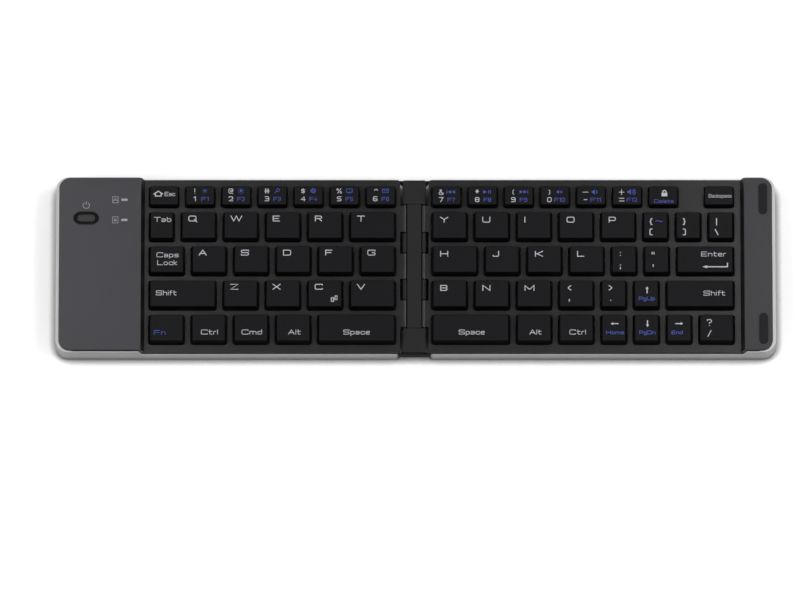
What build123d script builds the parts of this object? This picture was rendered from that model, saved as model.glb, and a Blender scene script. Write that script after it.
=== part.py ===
from build123d import *
import math
import os

# Folding keyboard: two halves joined by a narrow spine with a hinge line on each side.
# Millimetres. Origin: centre of the footprint, on the surface that the feet stand on.
# +X from the left half to the right half, +Y towards the number row, +Z up. Drawn open.

# ---- Keys, seen from above ----
key_width = 15.0  # a letter key's opening in the deck
key_depth = 13.1
number_row_depth = 9.5
narrow_key_width = 11.15  # brackets, quote, full stop, arrows
tab_key_width = 10.8
left_shift_width = 27.8
h_key_width = 19.2
backspace_width = 12.5
key_gap = 2.0  # deck left between two openings of a row
row_gap = 1.75  # deck left between two rows
key_clearance = 0.25  # between a key and its opening
key_corner = 1.4  # corner radius of an opening
key_rise = 2.5  # key top above the deck
key_travel = 1.5  # how far a key goes down
key_stop_gap = 0.15  # left under a key's walls when it is fully down
key_slope = 0.8  # each side of a key leans in by this much
number_key_slope = 0.5
key_edge = 0.3  # rounding round a key's top
key_wall = 0.5  # cavity inset from the key's top face
key_top_thickness = 1.1

# ---- Plan of the halves ----
front_margin = 3.3  # deck in front of the keys
rear_margin = 2.8
lip = 0.5  # silver edge showing along the front and rear
end_lip = 1.2  # silver edge showing at the two outer ends
wall = 1.0
end_wall = 1.7  # shell wall at the outer end
inner_wall = 0.6  # shell wall beside the spine
floor_thickness = 1.0
left_inner_margin = 1.55  # deck between the spine and the keys
right_inner_margin = 0.99
left_outer_margin = 1.5  # deck between the keys and the raised cover
right_outer_margin = 2.35  # deck between the keys and the raised rim
cover_length = 35.7  # foot of the cover's slope to the silver end
slope_run = 1.5  # how far a raised piece's slope runs along X
ramp_step = 0.9  # silver ramp behind the foot of a raised piece's slope
deck_tuck = 0.4  # deck reaching under a raised piece
sheet_gap = 0.3  # key plate to the wall beside the spine
outer_corner = 5.2
inner_corner = 1.6
bottom_rounding = 1.0
top_rounding = 0.35

# ---- Heights ----
foot_height = 0.6
shell_height = 6.2  # bottom of the shell to the underside of the deck
deck_thickness = 1.0
cover_rise = 2.9  # cover and rim above the deck
cover_thickness = 1.0
plate_thickness = 0.3
membrane_thickness = 0.3

# ---- Hinge ----
spine_shift = -0.52  # middle of the spine from the middle of the open keyboard
axis_spacing = 7.7
axis_drop = 0.65  # hinge axes below the deck's top
barrel_radius = 0.88
pin_radius = 0.45
running_clearance = 0.05
seat_clearance = 0.01
knuckle_gap = 0.5  # between neighbouring knuckles
barrel_gap = 0.15  # spine's middle strip to the halves' barrels
hinge_gap = 1.0  # spine to the inner face of a half
centre_knuckle = 11.9
spine_knuckle = 8.5
outer_knuckle = 12.4
pin_insert = 6.5  # pin length inside each end cap
spine_floor_gap = 0.3  # halves' barrels to the spine's lower block
spine_lift = 1.5  # underside of the spine above the shells' undersides
channel_width = 7.2
channel_floor = 1.0
channel_height = 1.8
tongue_length = 4.0
tongue_clearance = 0.1
cap_gap = 0.2  # seam between the spine's body and each end cap
cap_rounding = 0.9
flare_width = 1.6  # cap's foot reaching between the shells' rounded corners
flare_start = 1.3  # where the flare starts, behind the cap's end
flare_reach = 0.4  # foot past the cap's end
flare_lift = 1.0  # foot above the cap's underside
flare_rounding = 0.6

# ---- Ribbon between the halves ----
ribbon_width = 8.0
ribbon_thickness = 0.15
ribbon_reach = 9.0  # ribbon inside each half
ribbon_slot_clearance = 0.5

# ---- Small parts ----
foot_length = 12.0
foot_width = 4.0
foot_recess = 0.3
foot_inset = 9.0
screw_radius = 0.6
screw_head_radius = 1.1
screw_head_height = 0.5
screw_slot_width = 0.3
screw_recess = 0.15
screw_inset = 12.0
boss_radius = 1.1
rib_thickness = 0.8
pad_length = 13.4
pad_width = 3.5
pad_depth = 0.5
pad_rise = 0.25
pad_end_distance = 4.9
pad_spacing = 56.4

# ---- Controls on the cover, measured from the silver end and the silver rear edge ----
button_length = 7.1
button_width = 3.0
button_rise = 0.3
button_travel = 0.5
button_clearance = 0.2
button_flange = 0.9  # how far the retaining flange reaches past the button
flange_thickness = 0.6
flange_gap = 0.05
stem_length = 3.0
stem_width = 2.0
ring_length = 10.1  # shallow dark recess round the button
ring_width = 5.3
ring_depth = 0.4
button_end_distance = 12.1
button_rear_distance = 18.2
pipe_length = 2.6
pipe_width = 1.0
pipe_clearance = 0.05
pipe_end_distance = 27.5
pipe_rear_distances = (10.2, 19.0)

# ---- Electronics ----
battery_length = 42.0
battery_width = 28.0
battery_thickness = 4.4
battery_front_gap = 1.2
board_length = 24.0
board_width = 30.0
board_thickness = 1.0
board_height = 1.8  # board above the shell's floor
board_wall_gap = 1.5
post_radius = 1.2
switch_body = 4.5
switch_height = 0.8
switch_plunger_radius = 0.8
switch_gap = 0.05  # left between stem and plunger when the button is down
chip_size = 6.0
chip_height = 0.9
led_height = 0.6
socket_width = 7.5
socket_height = 2.6
socket_depth = 5.6
socket_sheet = 0.3
socket_tongue = 0.7
socket_clearance = 0.3
socket_end_distance = 20.0

# ---- Dome and scissor under each key ----
dome_radius = 1.75
dome_top_radius = 1.0
dome_flange = 0.3
dome_wall = 0.35
dome_gap = 0.05
link_thickness = 0.6
link_bar = 0.7
link_clearance = 0.3
link_gap = 0.15
link_longest_width = 11.0

# ---- Values that follow ----
shell_bottom = foot_height
floor_top = shell_bottom + floor_thickness
deck_seat = shell_bottom + shell_height
deck_top = deck_seat + deck_thickness
cover_top = deck_top + cover_rise
cover_seat = cover_top - cover_thickness
plate_gap = key_travel + key_stop_gap + membrane_thickness - running_clearance  # deck to membrane's underside
membrane_top = deck_seat - plate_gap + membrane_thickness
plate_top = membrane_top - membrane_thickness
plate_bottom = plate_top - plate_thickness
key_top = deck_top + key_rise
key_ceiling = key_top - key_top_thickness
key_bottom = deck_seat + running_clearance

axis_x = axis_spacing / 2
axis_z = deck_top - axis_drop
spine_bottom = shell_bottom + spine_lift
spine_top = axis_z + barrel_radius
spine_half = axis_x + barrel_radius
inner_face = spine_half + hinge_gap

left_field = 6 * key_width + 5 * key_gap
right_field = 5 * (key_width + key_gap) + 3 * narrow_key_width + 2 * key_gap
number_key_width = (left_field - 6 * key_gap) / 7
field_depth = number_row_depth + 4 * (key_depth + row_gap)
body_depth = field_depth + front_margin + rear_margin + 2 * lip
outer_end = inner_face - spine_shift + left_inner_margin + left_field + left_outer_margin + cover_length
rim_length = outer_end - inner_face - spine_shift - right_inner_margin - right_field - right_outer_margin
rear_edge = body_depth / 2
deck_edge = rear_edge - lip
field_rear = deck_edge - rear_margin
field_front = front_margin - deck_edge
cap_length = deck_edge - (centre_knuckle / 2 + spine_knuckle + outer_knuckle)
spine_end = deck_edge - cap_length

LEFT, RIGHT = -1, 1
face_of = {side: spine_shift + side * inner_face for side in (LEFT, RIGHT)}  # inner end of each half
axis_of = {side: spine_shift + side * axis_x for side in (LEFT, RIGHT)}
FILL = None  # a key that takes what is left of its row
BARE = ""  # a stretch of a row with no key


# ---- Key layout ----
def letters(word, width):
    return [(letter, width) for letter in word]


left_rows = [
    letters(["esc", "1", "2", "3", "4", "5", "6"], number_key_width),
    [("tab", tab_key_width)] + letters("qwer", key_width) + [("t", FILL)],
    [("caps", key_width)] + letters("asdf", key_width) + [("g", FILL)],
    [("left_shift", left_shift_width)] + letters("zxc", key_width) + [("v", FILL)],
    letters(["fn", "left_ctrl", "cmd", "left_alt"], key_width) + [("left_space", FILL)],
]
right_rows = [
    letters(["7", "8", "9", "0", "minus", "equals", "lock"], number_key_width)
    + [(BARE, FILL), ("backspace", backspace_width)],
    letters("yuiop", key_width)
    + letters(["open_bracket", "close_bracket"], narrow_key_width)
    + [("backslash", FILL)],
    [("h", h_key_width)]
    + letters("jkl", key_width)
    + letters(["semicolon", "quote"], narrow_key_width)
    + [("enter", FILL)],
    letters(["b", "n", "m", "comma"], key_width)
    + letters(["full_stop", "up"], narrow_key_width)
    + [("right_shift", FILL)],
    [("right_space", 2 * key_width + key_gap)]
    + letters(["right_alt", "right_ctrl"], key_width)
    + letters(["left", "down", "right"], narrow_key_width)
    + [("question", FILL)],
]


def place_keys(rows, start, length):
    """Gives each key's opening as (x, y, width, depth), rows from the rear."""
    places = {}
    rear = field_rear
    for number, row in enumerate(rows):
        depth = number_row_depth if number == 0 else key_depth
        spare = length - (len(row) - 1) * key_gap
        spare -= sum(width for _, width in row if width is not FILL)
        x = start
        for name, width in row:
            width = spare if width is FILL else width
            if name != BARE:
                places[name] = (x + width / 2, rear - depth / 2, width, depth)
            x += width + key_gap
        rear -= depth + row_gap
    return places


left_start = face_of[LEFT] - left_inner_margin - left_field
right_start = face_of[RIGHT] + right_inner_margin
left_keys = place_keys(left_rows, left_start, left_field)
right_keys = place_keys(right_rows, right_start, right_field)
keys_of = {LEFT: left_keys, RIGHT: right_keys}
field_of = {LEFT: (left_start, left_start + left_field), RIGHT: (right_start, right_start + right_field)}

left_number_keys = [name for name, _ in left_rows[0]]
right_number_keys = [name for name, _ in right_rows[0] if name != BARE]
left_side_keys = ["tab", "caps", "left_shift", "fn", "left_ctrl", "cmd", "left_alt"]
right_side_keys = [
    name
    for name in right_keys
    if name not in right_number_keys and len(name) > 1 and name != "right_space"
]


# ---- Shapes used more than once ----
def block(x0, x1, y0, y1, z0, z1):
    return Pos((x0 + x1) / 2, (y0 + y1) / 2, (z0 + z1) / 2) * Box(abs(x1 - x0), abs(y1 - y0), z1 - z0)


def upright(x, y, z0, z1, radius):
    return Pos(x, y, (z0 + z1) / 2) * Cylinder(radius, z1 - z0)


def along_y(x, z, y0, y1, radius):
    return Pos(x, (y0 + y1) / 2, z) * Rot(90, 0, 0) * Cylinder(radius, y1 - y0)


def prism(sketch, z0, z1):
    return extrude(Pos(0, 0, z0) * sketch, amount=z1 - z0)


def pill(x, y, z0, z1, length, width, turn=0):
    return prism(Pos(x, y) * Rot(0, 0, turn) * SlotOverall(length, width), z0, z1)


def rounded_block(x, y, z0, z1, width, depth, radius):
    return prism(Pos(x, y) * RectangleRounded(width, depth, radius), z0, z1)


def side_profile(points, y0, y1, radius=0, rounded=()):
    """Extrudes a closed outline of (x, z) points from y0 to y1; the listed corners are rounded."""
    face = make_face(Polyline([(x, 0, z) for x, z in points], close=True))
    if radius:
        chosen = [face.vertices().sort_by_distance((points[i][0], 0, points[i][1]))[0] for i in rounded]
        face = fillet(chosen, radius)
    solid = extrude(face, amount=y1 - y0, dir=(0, 1, 0))
    return Pos(0, y0, 0) * solid


def outline(side, inset=0.0, end_inset=0.0):
    """Plan of one half: large corners at its outer end, small ones beside the spine."""
    near, far = face_of[side], side * (outer_end - end_inset)
    sketch = Pos((near + far) / 2, 0) * Rectangle(abs(far - near), body_depth - 2 * inset)
    by_reach = sorted(sketch.vertices(), key=lambda v: abs(v.X))
    sketch = fillet(by_reach[2:], outer_corner - inset)
    corners = [v for v in sketch.vertices() if abs(v.X - near) < lip / 2]
    return fillet(corners, inner_corner - inset)


def slope_foot(side):
    length = cover_length if side == LEFT else rim_length
    return side * (outer_end - length)


def screw_places(side):
    near = face_of[side] + side * screw_inset
    far = slope_foot(side) - side * screw_inset
    rear = (field_rear + rear_edge - wall) / 2
    front = (field_front - rear_edge + wall) / 2
    return [(x, y) for x in (near, far) for y in (front, rear)]


def foot_places(side):
    near = face_of[side] + side * (foot_inset + foot_length / 2)
    far = side * (outer_end - foot_inset - foot_length / 2)
    y = rear_edge - foot_inset
    return [(x, s * y) for x in (near, far) for s in (-1, 1)]


def slot_half():
    return ribbon_width / 2 + ribbon_slot_clearance


def ribbon_z():
    return spine_bottom + channel_floor + ribbon_slot_clearance


board_x = -(outer_end - wall - board_wall_gap - board_width / 2)
board_y = rear_edge - wall - board_wall_gap - board_length / 2
board_bottom = floor_top + board_height
board_top = board_bottom + board_thickness
button_place = (-(outer_end - button_end_distance), rear_edge - button_rear_distance)
pipe_places = [(-(outer_end - pipe_end_distance), rear_edge - d) for d in pipe_rear_distances]
socket_x = -(outer_end - socket_end_distance)
stem_bottom = board_top + switch_height * 2 + button_travel + switch_gap


# ---- The two silver shells ----
def bottom_shell(side):
    shell = prism(outline(side), shell_bottom, cover_seat)
    shell = fillet(shell.edges().group_by(Axis.Z)[0], bottom_rounding)
    cavity = prism(outline(side, wall, end_wall), floor_top, cover_seat + wall)
    cavity -= block(0, face_of[side] + side * inner_wall, -body_depth, body_depth, 0, cover_top)
    shell -= cavity

    # Above the deck's seat the wall stands only at the raised end, and ramps down to the deck.
    foot = slope_foot(side) + side * ramp_step
    head = foot + side * slope_run
    above = cover_seat + wall
    cut = [(0, deck_seat), (foot, deck_seat), (head, cover_seat), (head, above), (0, above)]
    shell -= side_profile(cut, -body_depth, body_depth, slope_run / 2, (1,))

    shell += support_ribs(side)
    for x, y in foot_places(side):
        shell -= pill(x, y, 0, shell_bottom + foot_recess, foot_length, foot_width)
    for x, y in screw_places(side):
        shell -= upright(x, y, 0, floor_top, screw_radius + running_clearance)
        head_room = shell_bottom + screw_recess + screw_head_height
        shell -= upright(x, y, 0, head_room, screw_head_radius + running_clearance)
    slot_floor = ribbon_z()
    slot_top = slot_floor + 2 * ribbon_slot_clearance
    near, far = face_of[side] - side * wall, face_of[side] + side * 2 * wall
    shell -= block(near, far, -slot_half(), slot_half(), slot_floor, slot_top)
    if side == LEFT:
        shell += board_posts()
        half = socket_width / 2 + socket_clearance
        low = board_top - socket_clearance
        high = board_top + socket_height + socket_clearance
        shell -= block(socket_x - half, socket_x + half, rear_edge - 2 * wall, rear_edge + wall, low, high)
    return shell


def support_ribs(side):
    """Ribs under the gaps between rows, carrying the key plate."""
    near = face_of[side]
    far = max(field_of[side], key=abs)
    low, half = shell_bottom + foot_recess, rib_thickness / 2
    ribs = Part()
    y = field_rear - number_row_depth - row_gap / 2
    for _ in range(4):
        ribs += block(near, far, y - half, y + half, low, plate_bottom)
        y -= key_depth + row_gap
    return ribs


def board_posts():
    posts = Part()
    for sx in (-1, 1):
        for sy in (-1, 1):
            x = board_x + sx * (board_width / 2 - 2 * post_radius)
            y = board_y + sy * (board_length / 2 - 2 * post_radius)
            posts += upright(x, y, shell_bottom + foot_recess, board_bottom, post_radius)
    return posts


# ---- Dark top pieces ----
def key_deck(side):
    deck = prism(outline(side, lip, end_lip), deck_seat, deck_top)
    reach = side * (outer_end + wall)
    start = slope_foot(side) + side * deck_tuck
    deck -= block(start, reach, -body_depth, body_depth, 0, cover_top)
    holes = [
        Pos(x, y) * RectangleRounded(width, depth, key_corner)
        for x, y, width, depth in keys_of[side].values()
    ]
    deck -= prism(Sketch() + holes, deck_seat - wall, deck_top + wall)
    for x, y in screw_places(side):
        deck += upright(x, y, floor_top, deck_seat, boss_radius)
        deck -= upright(x, y, 0, deck_seat, screw_radius + seat_clearance)
    deck += knuckles(side)
    return deck - along_y(axis_of[side], axis_z, -body_depth, body_depth, pin_radius + running_clearance)


def knuckle_spans():
    """The (y0, y1) stretches of a half's own knuckles, with end play."""
    first = centre_knuckle / 2
    second = first + spine_knuckle
    third = second + outer_knuckle
    spans = [(-first, first), (second, third), (-third, -second)]
    return [(y0 + knuckle_gap, y1 - knuckle_gap) for y0, y1 in spans]


def knuckles(side):
    made = Part()
    for y0, y1 in knuckle_spans():
        made += along_y(axis_of[side], axis_z, y0, y1, barrel_radius)
        made += block(axis_of[side], face_of[side], y0, y1, axis_z - barrel_radius * 0.7, deck_top)
        made += block(face_of[side], face_of[side] + side * lip, y0, y1, deck_seat, deck_top)
    return made


def raised_piece(side):
    """A shallow cover with a sloped side towards the keys: the cover on the left, the rim on the right."""
    foot = slope_foot(side)
    head = foot + side * slope_run
    end = side * (outer_end + wall)
    skin = side * cover_thickness
    section = [(end, cover_seat), (end, cover_top), (head, cover_top), (foot, deck_top)]
    section += [(foot + skin, deck_top), (head + skin * 0.8, cover_seat)]
    piece = side_profile(section, -body_depth / 2, body_depth / 2)
    piece &= prism(outline(side, lip, end_lip), deck_seat, cover_top)
    top_edges = piece.edges().filter_by(lambda e: e.center().Z > cover_top - 0.01)
    return fillet(top_edges, top_rounding)


def control_cover():
    cover = raised_piece(LEFT)
    x, y = button_place
    cover -= pill(x, y, cover_top - ring_depth, cover_top + wall, ring_length, ring_width)
    hole = 2 * button_clearance
    cover -= pill(x, y, 0, cover_top, button_length + hole, button_width + hole)
    for x, y in pipe_places:
        length, width = pipe_length + 2 * pipe_clearance, pipe_width + 2 * pipe_clearance
        cover -= pill(x, y, 0, cover_top + wall, length, width)
    return cover


def pad_places():
    x = outer_end - pad_end_distance
    return [(x, s * pad_spacing / 2) for s in (-1, 1)]


def end_rim():
    rim = raised_piece(RIGHT)
    for x, y in pad_places():
        rim -= pill(x, y, cover_top - pad_depth, cover_top + wall, pad_length, pad_width, 90)
    return rim


def bumper_pads():
    low, high = cover_top - pad_depth, cover_top + pad_rise
    return [pill(x, y, low, high, pad_length, pad_width, 90) for x, y in pad_places()]


# ---- Keys and what is under them ----
def key_cap(place):
    x, y, width, depth = place
    slope = number_key_slope if depth == number_row_depth else key_slope
    width -= 2 * key_clearance
    depth -= 2 * key_clearance
    corner = key_corner - key_clearance
    foot = RectangleRounded(width, depth, corner)
    cap = prism(foot, key_bottom, deck_top)
    lean = math.degrees(math.atan(slope / key_rise))
    cap += extrude(Pos(0, 0, deck_top) * foot, amount=key_rise, taper=lean)
    cap = fillet(cap.edges().group_by(Axis.Z)[-1], key_edge)
    inset = 2 * (slope + key_wall)
    cap -= prism(RectangleRounded(width - inset, depth - inset, corner / 2), key_bottom, key_ceiling)
    return Pos(x, y) * cap


def cavity_of(place):
    _, _, width, depth = place
    slope = number_key_slope if depth == number_row_depth else key_slope
    inset = 2 * (key_clearance + slope + key_wall)
    return width - inset, depth - inset


def dome():
    height = key_ceiling - dome_gap - membrane_top
    shoulder = height * 0.35
    outside = [(dome_radius, 0), (dome_radius, dome_flange), (dome_radius - dome_wall, shoulder)]
    outside += [(dome_top_radius, height * 0.75), (dome_top_radius, height), (0, height)]
    inside = [(0, height * 0.75 - dome_wall), (dome_top_radius - dome_wall, height * 0.75 - dome_wall)]
    inside += [(dome_radius - 2 * dome_wall, shoulder), (dome_radius - 2 * dome_wall, 0)]
    face = make_face(Polyline([(r, 0, z) for r, z in outside + inside], close=True))
    return Pos(0, 0, membrane_top) * revolve(face, Axis.Z)


def rubber_domes(side):
    one = dome()
    return [Pos(x, y) * one for x, y, _, _ in keys_of[side].values()]


def scissor(place):
    """Two crossed frames, one inside the other, between the membrane and the key."""
    room_x, room_y = cavity_of(place)
    length = room_y - 2 * link_clearance
    outer_width = min(room_x - 2 * link_clearance, link_longest_width)
    inner_width = outer_width - 2 * (link_bar + link_gap)
    rise = key_ceiling - membrane_top - 2 * link_thickness
    lean = math.degrees(math.asin(rise / length))
    frames = []
    for width, turn in ((outer_width, lean), (inner_width, -lean)):
        ring = Rectangle(width, length) - Rectangle(width - 2 * link_bar, length - 2 * link_bar)
        frames.append(Rot(turn, 0, 0) * extrude(ring, amount=link_thickness / 2, both=True))
    middle = (key_ceiling + membrane_top) / 2
    x, y = place[:2]
    return [Pos(x, y, middle) * frame for frame in frames]


def scissor_links(side):
    return [frame for place in keys_of[side].values() for frame in scissor(place)]


def field_sheet(side, z0, z1):
    near = face_of[side] + side * (inner_wall + sheet_gap)
    far = max(field_of[side], key=abs)
    return block(near, far, field_front, field_rear, z0, z1)


def base_plate(side):
    """Steel plate with a small window beside each dome for the scissor's feet."""
    plate = field_sheet(side, plate_bottom, plate_top)
    windows = []
    for place in keys_of[side].values():
        x, y, _, _ = place
        reach = cavity_of(place)[1] / 2 - link_clearance - link_bar
        windows += [Pos(x, y + s * reach) * Rectangle(2 * dome_radius, link_bar) for s in (-1, 1)]
    return plate - prism(Sketch() + windows, plate_bottom, plate_top)


# ---- Spine ----
def spine_body():
    low = axis_z - barrel_radius - spine_floor_gap
    strip = axis_x - barrel_radius - barrel_gap
    spine = block(-spine_half, spine_half, -spine_end, spine_end, spine_bottom, low)
    spine = fillet(spine.edges().filter_by(Axis.Y).group_by(Axis.Z)[0], cap_rounding)
    spine += block(-strip, strip, -spine_end, spine_end, low - wall / 2, spine_top)
    near = centre_knuckle / 2
    far = near + spine_knuckle
    for s in (-1, 1):
        y0, y1 = sorted((s * near, s * far))
        for side in (LEFT, RIGHT):
            spine += along_y(side * axis_x, axis_z, y0, y1, barrel_radius)
            web = side * (axis_x + barrel_radius * 0.6)
            spine += block(0, web, y0, y1, low - wall / 2, axis_z)
    for side in (LEFT, RIGHT):
        spine -= along_y(side * axis_x, axis_z, -body_depth, body_depth, pin_radius + seat_clearance)
    half = channel_width / 2
    floor = spine_bottom + channel_floor
    spine -= block(-half, half, -body_depth, body_depth, floor, floor + channel_height)
    slot_floor = ribbon_z()
    slot_top = slot_floor + 2 * ribbon_slot_clearance
    spine -= block(-inner_face, inner_face, -slot_half(), slot_half(), slot_floor, slot_top)
    return Pos(spine_shift, 0, 0) * spine


def flared_foot(s):
    """Foot of an end cap, widening between the rounded corners of the two shells."""
    start, end = s * (deck_edge - flare_start), s * (deck_edge + flare_reach)
    wide = spine_half + flare_width
    corners = [(-spine_half, start), (spine_half, start), (wide, end), (-wide, end)]
    plan = make_face(Polyline(corners, close=True))
    foot = prism(plan, spine_bottom + flare_lift, axis_z - barrel_radius - spine_floor_gap)
    return fillet(foot.edges().group_by(Axis.Z)[0], flare_rounding)


def end_caps():
    caps = []
    half = channel_width / 2 - tongue_clearance
    floor = spine_bottom + channel_floor + tongue_clearance
    ceiling = spine_bottom + channel_floor + channel_height - tongue_clearance
    for s in (-1, 1):
        near, far = s * (spine_end + cap_gap), s * deck_edge
        cap = block(-spine_half, spine_half, min(near, far), max(near, far), spine_bottom, spine_top)
        upper = cap.edges().filter_by(Axis.Y).group_by(Axis.Z)[-1]
        cap = fillet(upper, barrel_radius - seat_clearance)
        lower = cap.edges().filter_by(Axis.Y).group_by(Axis.Z)[0]
        cap = fillet(lower, cap_rounding)
        outer_face = cap.faces().sort_by(Axis.Y)[0 if s < 0 else -1]
        cap = fillet(outer_face.edges(), cap_rounding * 0.6)
        cap += flared_foot(s)
        tongue_end = near - s * tongue_length
        cap += block(-half, half, min(near, tongue_end), max(near, tongue_end), floor, ceiling)
        for side in (LEFT, RIGHT):
            bottom = s * (spine_end + pin_insert + running_clearance)
            y0, y1 = min(near, bottom), max(near, bottom)
            cap -= along_y(side * axis_x, axis_z, y0, y1, pin_radius + seat_clearance)
        caps.append(Pos(spine_shift, 0, 0) * cap)
    return caps


def hinge_pins():
    reach = spine_end + pin_insert
    return [along_y(axis_of[side], axis_z, -reach, reach, pin_radius) for side in (LEFT, RIGHT)]


def ribbon():
    left, right = face_of[LEFT] - ribbon_reach, face_of[RIGHT] + ribbon_reach
    half = ribbon_width / 2
    return block(left, right, -half, half, ribbon_z(), ribbon_z() + ribbon_thickness)


# ---- Controls and electronics ----
def power_button():
    x, y = button_place
    flange_top = cover_seat - flange_gap
    button = pill(x, y, flange_top - flange_thickness, cover_top + button_rise, button_length, button_width)
    button = fillet(button.edges().group_by(Axis.Z)[-1], top_rounding)
    grow = 2 * button_flange
    length, width = button_length + grow, button_width + grow
    button += pill(x, y, flange_top - flange_thickness, flange_top, length, width)
    return button + rounded_block(x, y, stem_bottom, flange_top, stem_length, stem_width, stem_width / 4)


def light_pipes():
    return [pill(x, y, board_top + led_height, cover_top, pipe_length, pipe_width) for x, y in pipe_places]


def battery():
    y0 = -(rear_edge - wall - battery_front_gap)
    top = floor_top + battery_thickness
    middle = y0 + battery_length / 2
    return rounded_block(board_x, middle, floor_top, top, battery_width, battery_length, 2.0)


def circuit_board():
    """The board with its push switch, two lamps and main chip as separate solids."""
    parts = [rounded_block(board_x, board_y, board_bottom, board_top, board_width, board_length, 1.0)]
    x, y = button_place
    switch = block(
        x - switch_body / 2, x + switch_body / 2, y - switch_body / 2, y + switch_body / 2,
        board_top, board_top + switch_height,
    )
    switch += upright(x, y, board_top, board_top + 2 * switch_height, switch_plunger_radius)
    parts.append(switch)
    lamp_top = board_top + led_height
    for x, y in pipe_places:
        parts.append(rounded_block(x, y, board_top, lamp_top, pipe_length, pipe_width, pipe_width / 4))
    chip_x, chip_y = board_x + chip_size / 3, board_y - chip_size / 4
    parts.append(rounded_block(chip_x, chip_y, board_top, board_top + chip_height, chip_size, chip_size, 0.3))
    return parts


def charging_socket():
    half = socket_width / 2
    mouth = rear_edge - lip / 4
    back = mouth - socket_depth
    top = board_top + socket_height
    socket = rounded_block(socket_x, (mouth + back) / 2, board_top, top, socket_width, socket_depth, 0.2)
    socket -= block(
        socket_x - half + socket_sheet, socket_x + half - socket_sheet, back + socket_sheet, mouth + wall,
        board_top + socket_sheet, top - socket_sheet,
    )
    middle = (board_top + top) / 2
    tongue = block(
        socket_x - half / 2, socket_x + half / 2, back, mouth - 2 * socket_sheet,
        middle - socket_tongue / 2, middle + socket_tongue / 2,
    )
    return socket + tongue


# ---- Fasteners and feet ----
def screws(side):
    made = []
    head_low = shell_bottom + screw_recess
    head_top = head_low + screw_head_height
    for x, y in screw_places(side):
        screw = upright(x, y, head_low, head_top, screw_head_radius)
        screw += upright(x, y, head_top, deck_seat, screw_radius)
        long, short = 1.2 * screw_head_radius, screw_slot_width
        for w, d in ((long, short), (short, long)):
            screw -= block(x - w / 2, x + w / 2, y - d / 2, y + d / 2, 0, head_low + screw_head_height / 2)
        made.append(screw)
    return made


def feet(side):
    return [pill(x, y, 0, shell_bottom + foot_recess, foot_length, foot_width) for x, y in foot_places(side)]


# ---- Every node ----
nodes = {}
for side, name in ((LEFT, "left"), (RIGHT, "right")):
    nodes[name + "_bottom_shell"] = bottom_shell(side)
    nodes[name + "_key_deck"] = key_deck(side)
    nodes[name + "_base_plate"] = base_plate(side)
    nodes[name + "_membrane"] = field_sheet(side, plate_top, membrane_top)
    nodes[name + "_rubber_domes"] = rubber_domes(side)
    nodes[name + "_scissor_links"] = scissor_links(side)
    nodes[name + "_feet"] = feet(side)
    nodes[name + "_screws"] = screws(side)
nodes["control_panel_cover"] = control_cover()
nodes["power_button"] = power_button()
nodes["indicator_light_pipes"] = light_pipes()
nodes["battery"] = battery()
nodes["circuit_board"] = circuit_board()
nodes["charging_socket"] = charging_socket()
nodes["end_rim"] = end_rim()
nodes["bumper_pads"] = bumper_pads()
nodes["spine_body"] = spine_body()
nodes["spine_end_caps"] = end_caps()
nodes["hinge_pins"] = hinge_pins()
nodes["flex_cable"] = ribbon()

for side in (LEFT, RIGHT):
    for name, place in keys_of[side].items():
        if len(name) == 1 and name.isalpha():
            nodes["key_" + name] = key_cap(place)
nodes["left_space_key"] = key_cap(left_keys["left_space"])
nodes["right_space_key"] = key_cap(right_keys["right_space"])
nodes["left_number_keys"] = [key_cap(left_keys[name]) for name in left_number_keys]
nodes["right_number_keys"] = [key_cap(right_keys[name]) for name in right_number_keys]
nodes["left_side_keys"] = [key_cap(left_keys[name]) for name in left_side_keys]
nodes["right_side_keys"] = [key_cap(right_keys[name]) for name in right_side_keys]

os.makedirs("parts", exist_ok=True)
for name, shape in nodes.items():
    if isinstance(shape, list):
        shape = Compound(children=shape)
    export_step(shape, "parts/" + name + ".step")
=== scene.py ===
import math

import bpy
from mathutils import Matrix, Vector
from mathutils.geometry import delaunay_2d_cdt


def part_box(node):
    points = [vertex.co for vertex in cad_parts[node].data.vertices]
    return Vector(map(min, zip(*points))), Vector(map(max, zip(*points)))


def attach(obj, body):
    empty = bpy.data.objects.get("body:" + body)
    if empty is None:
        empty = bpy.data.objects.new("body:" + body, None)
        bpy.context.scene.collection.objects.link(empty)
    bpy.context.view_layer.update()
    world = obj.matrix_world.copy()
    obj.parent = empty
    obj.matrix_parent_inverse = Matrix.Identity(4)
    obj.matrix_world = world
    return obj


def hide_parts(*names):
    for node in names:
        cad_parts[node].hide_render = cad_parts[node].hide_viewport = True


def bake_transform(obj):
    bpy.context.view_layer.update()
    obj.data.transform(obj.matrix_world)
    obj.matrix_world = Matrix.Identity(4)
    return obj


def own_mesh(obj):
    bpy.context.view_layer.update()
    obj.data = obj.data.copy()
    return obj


# Looks of the folding keyboard. Shapes are drawn in millimetres and stored in metres.
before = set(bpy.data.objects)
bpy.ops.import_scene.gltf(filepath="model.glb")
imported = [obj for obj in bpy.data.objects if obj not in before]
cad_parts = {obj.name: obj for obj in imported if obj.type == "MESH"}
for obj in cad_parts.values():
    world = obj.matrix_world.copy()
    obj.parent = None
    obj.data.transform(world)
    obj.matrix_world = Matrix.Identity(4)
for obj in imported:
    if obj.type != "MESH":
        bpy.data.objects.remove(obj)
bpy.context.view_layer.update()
mm = 0.001


def box_mm(node):
    """The low and the high corner of a node, in millimetres."""
    low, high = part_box(node)
    return low / mm, high / mm


pins_low, pins_high = box_mm("hinge_pins")
spine_x = (pins_low.x + pins_high.x) / 2  # middle between the two hinges

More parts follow.
